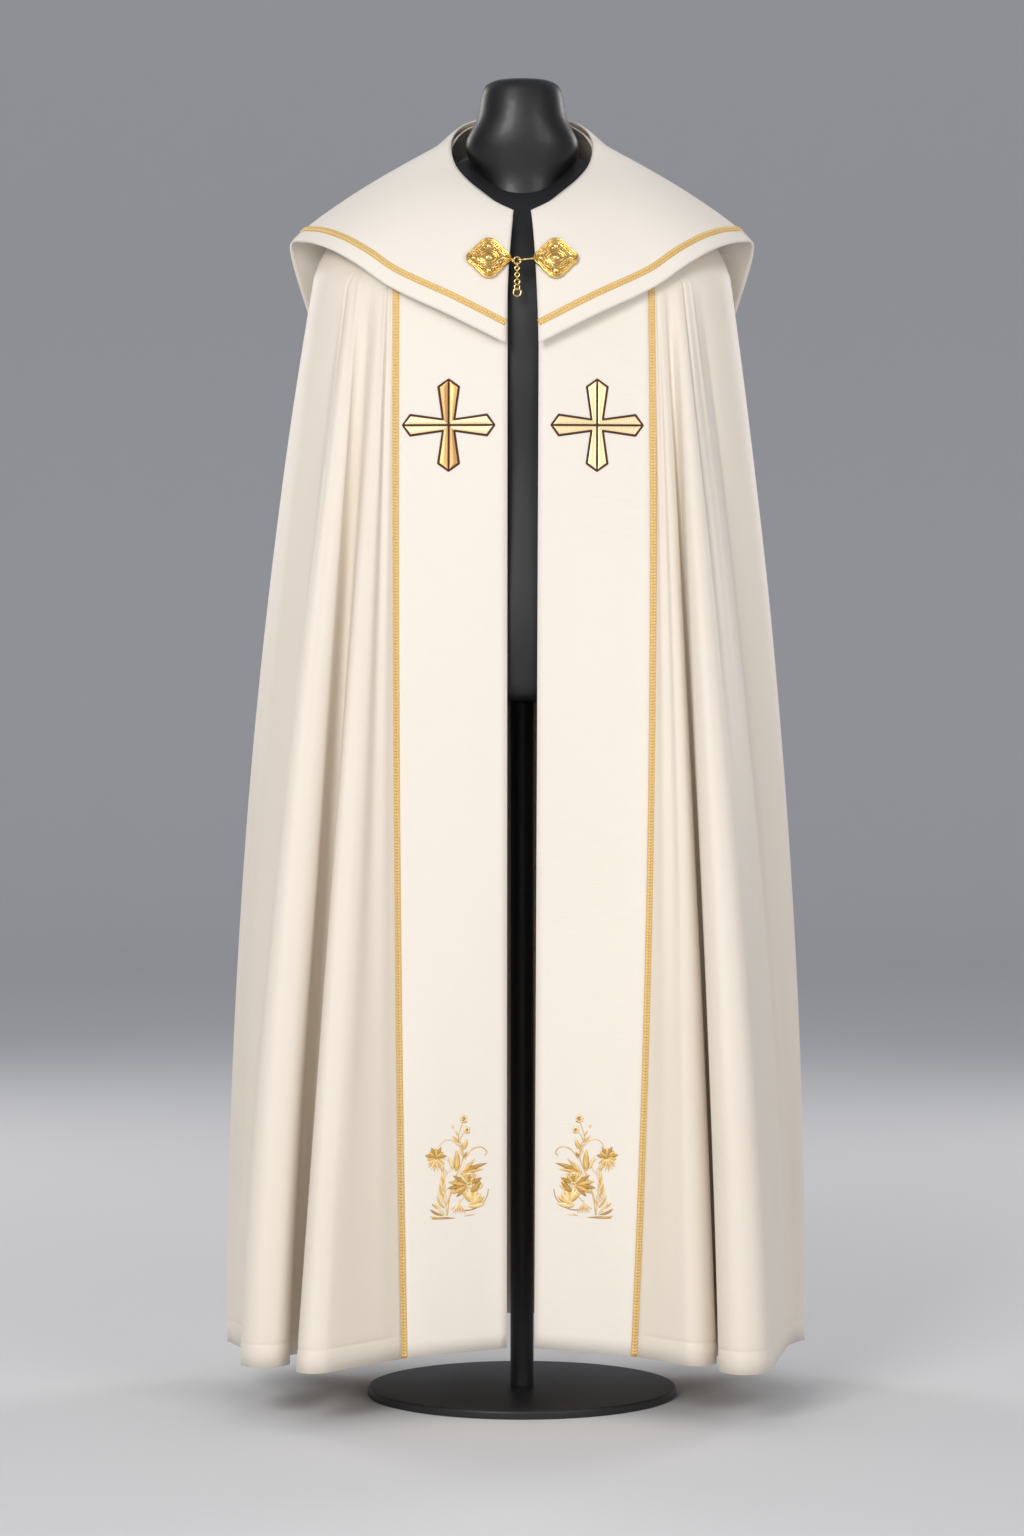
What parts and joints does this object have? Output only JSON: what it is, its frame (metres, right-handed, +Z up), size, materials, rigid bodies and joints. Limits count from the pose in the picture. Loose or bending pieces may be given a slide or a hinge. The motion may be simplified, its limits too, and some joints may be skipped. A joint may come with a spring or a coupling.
{
  "type": "cope vestment on a dress form",
  "caption": "Full-length ivory cope with cape collar, flat orphreys, gold galloon, crosses, flower sprays and a gilt clasp, on a black limbless dress form.",
  "frame": {"origin": "centre of the stand's base, on the floor", "axes": "+Z up, the front faces -Y, the wearer's right at -X"},
  "size_m": [0.6956, 0.4906, 1.571],
  "materials": {
    "mantle_cloth": "satin",
    "orphrey_cloth": "matte",
    "gold_braid": "satin",
    "gold_thread": "satin",
    "brown_thread": "satin",
    "gilt_metal": "polished",
    "form_black": "satin",
    "stand_black": "satin"
  },
  "bodies": {
    "root": {"mantle": "mantle_cloth", "orphrey_right": "orphrey_cloth", "orphrey_left": "orphrey_cloth", "galloon_right": "gold_braid", "galloon_left": "gold_braid", "collar": "mantle_cloth", "galloon_collar": "gold_braid", "cross_right": "gold_thread", "cross_left": "gold_thread", "cross_outline_right": "brown_thread", "cross_outline_left": "brown_thread", "spray_right": "gold_thread", "spray_left": "gold_thread", "clasp_right": "gilt_metal", "clasp_left": "gilt_metal", "form_torso": "form_black", "form_pole": "stand_black", "form_base": "stand_black"},
    "drop_link": {"drop_link": "gilt_metal"},
    "drop_chain": {"drop_chain": "gilt_metal"}
  },
  "joints": [
    {"name": "drop_fore_aft", "type": "hinge", "parent": "root", "child": "drop_link", "pos_m": [-0.006, -0.118, 1.339], "axis": [1, 0, 0], "range_deg": [-70, 0]},
    {"name": "drop_sideways", "type": "hinge", "parent": "drop_link", "child": "drop_chain", "pos_m": [-0.006, -0.118, 1.3347], "axis": [0, 1, 0], "range_deg": [-30, 30]}
  ]
}
